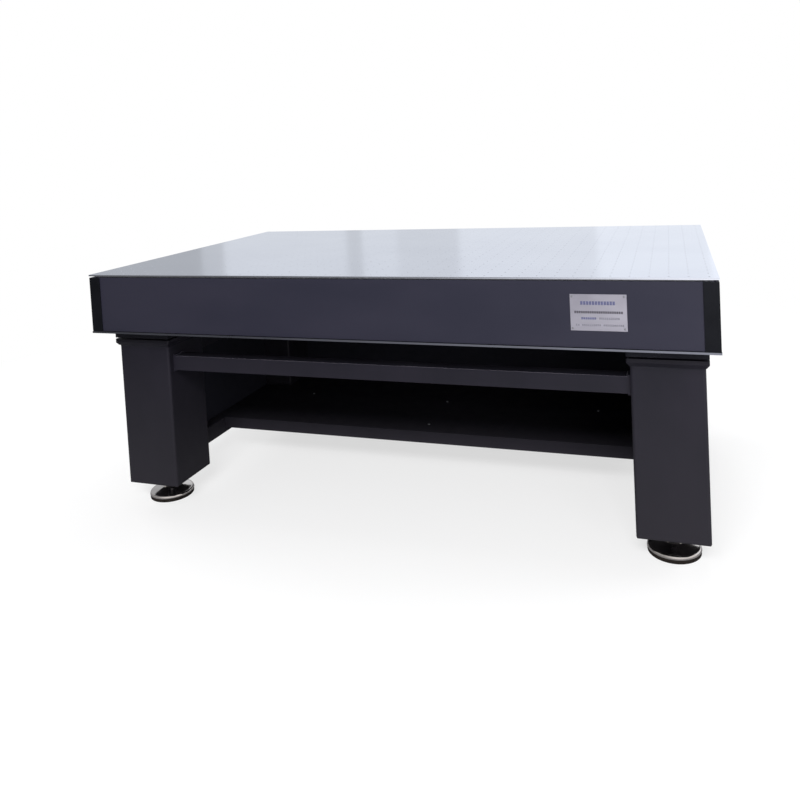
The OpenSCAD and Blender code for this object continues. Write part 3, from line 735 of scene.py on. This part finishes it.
def makeScrews(node, look):
    bm = bmesh.new()
    for low, high in solidBoxes(node):
        middle = (low + high) / 2
        size = high - low
        axis = max(range(3), key=lambda number: size[number])  # a screw is longer than wide
        outward = Vector((0, 0, 0))
        outward[axis] = 1
        if axis == 0 and middle.x < 0:
            outward.x = -1
        tip = middle + outward * size[axis] / 2
        one = buttonScrew(look, size[axis] / mm)
        turned = outward.to_track_quat("Z", "Y").to_matrix().to_4x4()
        foot = tip - outward * look["headHeight"] * mm
        addTo(bm, one, Matrix.Translation(foot) @ turned)
    finishPiece(node + "_button_heads", bm, "frame", slotOf[node], [node], sharp=40)


makeScrews("shelf_screws", screwLook)
makeScrews("cover_screws", screwLook)
print("screws made")


# The feet are in mm, and a rounding is its width and segments.
padLook = {
    "radius": 75, "height": 12, "grooves": (18.75, 37.5, 56.25), "groove": 2, "steps": 96,
    "floorEdge": (1.6, 3), "topEdge": (1.0, 2),
}
dishLook = {
    "rimPlace": 71.5, "rimWidth": 4.5, "rimHeight": 9, "rimTurn": 100, "rimSteps": 12,
    "hubFoot": (29, 32), "hubTop": (26, 38), "sag": 1.4, "wallSteps": 9,
    "socket": 10.05, "socketFloor": 20, "steps": 96,
    "rimEdge": (0.6, 2), "hubFootEdge": (2.0, 3), "hubTopEdge": (1.4, 3), "socketEdge": (0.5, 2),
}
stemLook = {
    "spigot": 10, "spigotFloor": 20, "spigotEdge": 1, "segments": 48,
    "hexFloor": 38.3, "hexTop": 50, "hexCorner": 20.5, "chamfer": 18.2, "slope": 0.55,
    "threadRadius": 11.95, "threadPitch": 3, "threadTop": 184, "threadSteps": 36,
    "threadDepth": 0.6134,       # as a share of the pitch, as for any metric thread
    "threadSunk": 0.3,           # into the hexagon
    "threadLead": 1.5,           # turns that start below the hexagon's top, and are cut off there
    "threadForm": ((0, 0), (0, 0.25), (1, 0.5625), (1, 0.6875), (0, 1)),  # shares of the depth and the pitch
}
nutLook = {"corner": 20.5, "chamfer": 18.2, "slope": 0.55, "bore": 12.05, "boreEdge": 1, "segments": 48}


def makePad(leg, look):
    rim = look["radius"]
    half = look["groove"] / 2
    points = [(0, 0)]
    for groove in look["grooves"]:
        points += [(groove - half, 0), (groove - half, look["groove"])]
        points += [(groove + half, look["groove"]), (groove + half, 0)]
    corner = len(points)
    points += [(rim, 0), (rim, look["height"]), (0, look["height"])]
    bm = bmesh.new()
    rounding = [(corner, *look["floorEdge"]), (corner + 1, *look["topEdge"])]
    spinProfile(bm, points, look["steps"], rounding)
    standOn(bm, leg)
    node = "foot_pad_" + leg
    finishPiece(node + "_moulded", bm, "foot_" + leg, "rubber", [node])


def standOn(bm, leg):  # moves a piece from the origin to the middle of a leg
    low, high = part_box("foot_pad_" + leg)
    bmesh.ops.translate(bm, verts=bm.verts, vec=((low.x + high.x) / 2, (low.y + high.y) / 2, 0))


def makeDish(leg, look):
    floor = padLook["height"]
    points = [(0, floor), (look["rimPlace"] + look["rimWidth"], floor)]
    for number in range(1, look["rimSteps"] + 1):
        angle = math.radians(number * look["rimTurn"] / look["rimSteps"])
        points.append((look["rimPlace"] + look["rimWidth"] * math.cos(angle),
                       floor + look["rimHeight"] * math.sin(angle)))
    start = points[-1]
    end = look["hubFoot"]
    for number in range(1, look["wallSteps"]):
        share = number / look["wallSteps"]
        sag = look["sag"] * 4 * share * (1 - share)
        points.append((start[0] + (end[0] - start[0]) * share, start[1] + (end[1] - start[1]) * share - sag))
    hub = len(points)
    points += [end, look["hubTop"], (look["socket"], look["hubTop"][1])]
    points += [(look["socket"], look["socketFloor"]), (0, look["socketFloor"])]
    bm = bmesh.new()
    rounding = [(1, *look["rimEdge"]), (hub, *look["hubFootEdge"])]
    rounding += [(hub + 1, *look["hubTopEdge"]), (hub + 2, *look["socketEdge"])]
    spinProfile(bm, points, look["steps"], rounding)
    standOn(bm, leg)
    node = "foot_dish_" + leg
    finishPiece(node + "_spun", bm, "foot_" + leg, "foot_chrome", [node], sharp=40)


def hexRings(floor, top, corner, chamfer, slope):
    reach = corner - chamfer  # the corners are turned off at an angle
    return [
        (chamfer, floor, 0), (corner, floor + reach * slope, hexagon),
        (corner, top - reach * slope, hexagon), (chamfer, top, 0),
    ]


def makeThread(bm, look):
    pitch = look["threadPitch"]
    crest = look["threadRadius"]
    depth = look["threadDepth"] * pitch
    floor = look["hexTop"] - look["threadLead"] * pitch
    form = [(crest - depth * (1 - out), floor + pitch * up) for out, up in look["threadForm"]]
    verts = [bm.verts.new((radius * mm, 0, height * mm)) for radius, height in form]
    edges = [bm.edges.new(pair) for pair in zip(verts, verts[1:])]
    steps = look["threadSteps"]
    bmesh.ops.spin(
        bm, geom=verts + edges, cent=(0, 0, 0), axis=(0, 0, 1), dvec=(0, 0, pitch * mm / steps),
        angle=math.tau, space=Matrix.Identity(4), steps=steps, use_merge=False,
        use_normal_flip=False, use_duplicate=False,
    )
    turn = bm.verts[:] + bm.edges[:] + bm.faces[:]
    for number in range(1, math.ceil((look["threadTop"] - floor) / pitch) + 1):
        copied = bmesh.ops.duplicate(bm, geom=turn)["geom"]
        moved = [entry for entry in copied if isinstance(entry, bmesh.types.BMVert)]
        bmesh.ops.translate(bm, verts=moved, vec=(0, 0, number * pitch * mm))
    bmesh.ops.remove_doubles(bm, verts=bm.verts, dist=joinWithin["piece"])
    near = joinWithin["rim"]
    for height, clearOver in ((look["hexTop"] - look["threadSunk"], False), (look["threadTop"], True)):
        bmesh.ops.bisect_plane(
            bm, geom=bm.verts[:] + bm.edges[:] + bm.faces[:], dist=joinWithin["cut"],
            plane_co=(0, 0, height * mm), plane_no=(0, 0, 1),
            clear_outer=clearOver, clear_inner=not clearOver,
        )
        rim = [edge for edge in bm.edges if edge.is_boundary and
               all(abs(vert.co.z - height * mm) < near for vert in edge.verts)]
        bmesh.ops.holes_fill(bm, edges=rim, sides=0)


def makeStem(leg, look):
    bm = bmesh.new()
    floor = look["spigotFloor"]
    rings = [(0, floor, 0), (look["spigot"] - look["spigotEdge"], floor, 0)]
    rings += [(look["spigot"], floor + look["spigotEdge"], 0), (look["spigot"], look["hexFloor"], 0)]
    rings += hexRings(look["hexFloor"], look["hexTop"], look["hexCorner"], look["chamfer"], look["slope"])
    rings += [(0, look["hexTop"], 0)]
    loftRings(bm, rings, look["segments"])
    thread = bmesh.new()
    makeThread(thread, look)
    addTo(bm, thread, Matrix.Identity(4))
    standOn(bm, leg)
    node = "foot_stem_" + leg
    finishPiece(node + "_threaded", bm, "stem_" + leg, "black_steel", [node], sharp=25)


def makeLockNuts(look):
    bm = bmesh.new()
    low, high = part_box("lock_nuts")
    floor, top = low.z / mm, high.z / mm
    bore = look["bore"]
    edge = look["boreEdge"]
    rings = [(bore + edge, floor, 0)]
    rings += hexRings(floor, top, look["corner"], look["chamfer"], look["slope"])
    rings += [(bore + edge, top, 0), (bore, top - edge, 0), (bore, floor + edge, 0), rings[0]]
    for leg in legs:
        one = bmesh.new()
        loftRings(one, rings, look["segments"])
        standOn(one, leg)
        addTo(bm, one, Matrix.Identity(4))
    finishPiece("lock_nuts_chamfered", bm, "frame", "zinc_steel", ["lock_nuts"], sharp=25)


for leg in legs:
    makePad(leg, padLook)
    makeDish(leg, dishLook)
    makeStem(leg, stemLook)
makeLockNuts(nutLook)
print("feet made")


springLook = {"outer": 56, "waist": 50, "waistSteps": 10, "bore": 20, "edge": (1.2, 2), "steps": 64}


def makeSprings(look):
    low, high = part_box("rubber_springs")
    floor, top = low.z / mm, high.z / mm
    bm = bmesh.new()
    for leg in legs:
        points = [(look["bore"], floor), (look["outer"], floor)]
        for number in range(1, look["waistSteps"]):
            share = number / look["waistSteps"]
            drawn = (look["outer"] - look["waist"]) * math.sin(math.pi * share)
            points.append((look["outer"] - drawn, floor + (top - floor) * share))
        points += [(look["outer"], top), (look["bore"], top), (look["bore"], floor)]
        one = bmesh.new()
        spinProfile(one, points, look["steps"], [(1, *look["edge"]), (look["waistSteps"] + 1, *look["edge"])])
        standOn(one, leg)
        addTo(bm, one, Matrix.Identity(4))
    springs = finishPiece("rubber_springs_moulded", bm, "", "rubber", ["rubber_springs"], sharp=40)
    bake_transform(springs)


makeSprings(springLook)
print("springs made")


studio = {
    "ambient": 0.26,
    "floorSize": 40,
    "floorSeen": (246, 246, 247),
    "floorBounce": (138, 138, 142),
    "floorClear": (0.66, 0.05),    # how much of the floor is plain white near the table, seen and mirrored
    "floorFade": (1.2, 3.2),       # metres from the middle of the table, over which it becomes all white
    "floorMirrored": ((-1.5, 0.12), (0.9, 1.15)),  # places along X, and how bright gloss sees the floor
    "mirroredFront": ((-0.65, 0.4), (0, 0.8)),     # directions along X, and how bright it sees the front
    "behind": (0.1, 0.3),          # directions along Y, over which the front gives way to the wall
    "leastAhead": 0.05,            # keeps the slope of a direction finite
    "tint": (0.970, 1.008, 1.062),
    "wallEdge": 0.004,
    "mirroredWall": [              # bands of the wall behind the table: where each starts, its brightness
        (-0.900, 0.465), (-0.702, 0.580), (-0.661, 0.730), (-0.451, 0.620), (-0.427, 0.745),
        (-0.372, 0.690), (-0.280, 0.805), (-0.092, 0.900), (0.050, 1.000),
    ],
}


def makeWorld(look):
    world = bpy.data.worlds.new("studio")
    scene.world = world
    world.use_nodes = True
    tree = world.node_tree
    tree.nodes.clear()
    place = addNode(tree, "ShaderNodeTexCoord")
    parts = addNode(tree, "ShaderNodeSeparateXYZ")
    tree.links.new(place.outputs["Generated"], parts.inputs["Vector"])
    ahead = addNode(tree, "ShaderNodeMath", operation="MAXIMUM")
    tree.links.new(parts.outputs["Y"], ahead.inputs[0])
    ahead.inputs[1].default_value = look["leastAhead"]
    slope = addNode(tree, "ShaderNodeMath", operation="DIVIDE")
    tree.links.new(parts.outputs["X"], slope.inputs[0])
    tree.links.new(ahead.outputs[0], slope.inputs[1])
    bands = look["mirroredWall"]
    first, last = bands[0][0], bands[-1][0] + look["wallEdge"]
    ramp = addNode(tree, "ShaderNodeValToRGB")
    tree.links.new(remap(tree, slope.outputs[0], first, last, 0, 1), ramp.inputs["Fac"])
    stops = ramp.color_ramp.elements
    stops[0].color = [bands[0][1] * part for part in look["tint"]] + [1]
    stops[1].color = [bands[-1][1] * part for part in look["tint"]] + [1]
    for (_, before), (spot, after) in zip(bands, bands[1:]):
        for start, bright in ((spot - look["wallEdge"], before), (spot, after)):
            stop = stops.new((start - first) / (last - first))
            stop.color = [bright * part for part in look["tint"]] + [1]
    isBehind = remap(tree, parts.outputs["Y"], *look["behind"], 0, 1)
    (left, dimmer), (middle, brighter) = look["mirroredFront"]
    across = remap(tree, parts.outputs["X"], left, middle, dimmer, brighter)
    shown = mixColours(tree, isBehind, across, ramp.outputs["Color"])
    rays = addNode(tree, "ShaderNodeLightPath")
    mirror = addNode(tree, "ShaderNodeMath", operation="MAXIMUM")
    tree.links.new(rays.outputs["Is Glossy Ray"], mirror.inputs[0])
    tree.links.new(rays.outputs["Is Transmission Ray"], mirror.inputs[1])
    dim = (look["ambient"], look["ambient"], look["ambient"], 1)
    lit = mixColours(tree, mirror.outputs[0], dim, shown)
    seen = mixColours(tree, rays.outputs["Is Camera Ray"], lit, (1, 1, 1, 1))
    light = addNode(tree, "ShaderNodeBackground")
    tree.links.new(seen, light.inputs["Color"])
    output = addNode(tree, "ShaderNodeOutputWorld")
    tree.links.new(light.outputs[0], output.inputs["Surface"])


def makeFloor(look):
    material = bpy.data.materials.new("studio_floor")
    material.use_nodes = True
    tree = material.node_tree
    tree.nodes.clear()
    place = addNode(tree, "ShaderNodeTexCoord")
    reach = addNode(tree, "ShaderNodeVectorMath", operation="LENGTH")
    tree.links.new(place.outputs["Object"], reach.inputs[0])
    rays = addNode(tree, "ShaderNodeLightPath")
    isSeen = rays.outputs["Is Camera Ray"]
    nearness = remap(tree, isSeen, 0, 1, look["floorClear"][1], look["floorClear"][0])
    clear = remap(tree, reach.outputs["Value"], *look["floorFade"], 0, 1)
    tree.links.new(nearness, clear.node.inputs["To Min"])
    isDirect = remap(tree, rays.outputs["Is Diffuse Ray"], 0, 1, 1, 0)
    share = addNode(tree, "ShaderNodeMath", operation="MULTIPLY")
    tree.links.new(clear, share.inputs[0])
    tree.links.new(isDirect, share.inputs[1])
    pale = addNode(tree, "ShaderNodeBsdfDiffuse")
    paint = mixColours(tree, isSeen, linearColour(look["floorBounce"]), linearColour(look["floorSeen"]))
    tree.links.new(paint, pale.inputs["Color"])
    parts = addNode(tree, "ShaderNodeSeparateXYZ")
    tree.links.new(place.outputs["Object"], parts.inputs["Vector"])
    (left, dimmer), (right, brighter) = look["floorMirrored"]
    mirrored = remap(tree, parts.outputs["X"], left, right, dimmer, brighter)
    white = addNode(tree, "ShaderNodeEmission")
    tree.links.new(mixColours(tree, isSeen, mirrored, (1, 1, 1, 1)), white.inputs["Color"])
    shown = addNode(tree, "ShaderNodeMixShader")
    tree.links.new(share.outputs[0], shown.inputs["Fac"])
    tree.links.new(pale.outputs[0], shown.inputs[1])
    tree.links.new(white.outputs[0], shown.inputs[2])
    output = addNode(tree, "ShaderNodeOutputMaterial")
    tree.links.new(shown.outputs[0], output.inputs["Surface"])
    bm = bmesh.new()
    bmesh.ops.create_grid(bm, x_segments=1, y_segments=1, size=look["floorSize"])
    mesh = bpy.data.meshes.new("floor")
    bm.to_mesh(mesh)
    bm.free()
    mesh.materials.append(material)
    floor = bpy.data.objects.new("floor", mesh)
    scene.collection.objects.link(floor)


makeWorld(studio)
makeFloor(studio)


lamps = {  # place, aim, width and height in metres, power in watts
    "key": ((0.4, -4.4, 3.5), (0, -0.3, 0.45), 3.0, 1.2, 220),
    "fill": ((1.7, -2.3, 1.1), (0.6, -0.5, 0.5), 1.2, 0.8, 16),
    "left": ((-4.6, 1.6, 2.5), (0, 0.2, 0.45), 2.2, 1.8, 90),
    "right": ((4.6, 1.6, 2.5), (0, 0.2, 0.45), 2.2, 1.8, 90),
    "over": ((0.0, 0.3, 4.2), (0, 0, 0.8), 3.4, 2.6, 60),
    "rear": ((0.2, 4.6, 2.8), (0, 0.2, 0.45), 2.6, 1.8, 110),
}


def makeLamp(name, place, aim, width, height, power):
    data = bpy.data.lights.new(name, "AREA")
    data.shape = "RECTANGLE"
    data.size = width
    data.size_y = height
    data.energy = power
    lamp = bpy.data.objects.new(name, data)
    away = Vector(place) - Vector(aim)
    lamp.matrix_world = Matrix.Translation(place) @ away.to_track_quat("Z", "Y").to_matrix().to_4x4()
    scene.collection.objects.link(lamp)
    lamp.visible_camera = False
    lamp.visible_glossy = False  # metal and gloss mirror the studio, not the lamps


for name, values in lamps.items():
    makeLamp(name, *values)
scene.view_settings.view_transform = "Standard"
print("studio lit")
